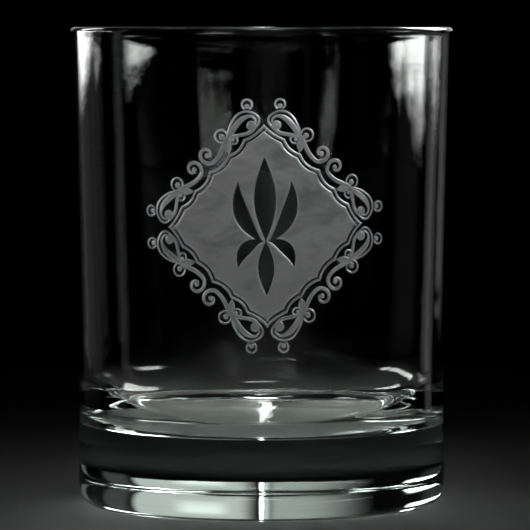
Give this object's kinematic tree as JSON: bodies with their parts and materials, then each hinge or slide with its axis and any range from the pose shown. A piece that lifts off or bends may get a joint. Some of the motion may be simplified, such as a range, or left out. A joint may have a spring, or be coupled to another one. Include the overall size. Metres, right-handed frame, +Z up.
{
  "type": "whiskey tumbler",
  "caption": "Heavy-based straight-sided clear glass tumbler with a frosted scrollwork medallion carved into its front.",
  "frame": {"origin": "on the glass's axis, in the plane that its base ring rests on", "axes": "+Z up along the axis of the glass, -Y towards the front with the carved medallion, +X to the right of it"},
  "size_m": [0.0842, 0.0842, 0.105],
  "materials": {
    "clear_glass": "polished",
    "frosted_glass": "sand-carved frosted"
  },
  "bodies": {
    "root": {"tumbler_body": "clear_glass", "frosted_field": "frosted_glass", "frosted_border_line": "frosted_glass", "frosted_scroll_1": "frosted_glass", "frosted_scroll_2": "frosted_glass", "frosted_scroll_3": "frosted_glass", "frosted_scroll_4": "frosted_glass", "frosted_scroll_5": "frosted_glass", "frosted_scroll_6": "frosted_glass", "frosted_scroll_7": "frosted_glass", "frosted_scroll_8": "frosted_glass"}
  },
  "joints": []
}
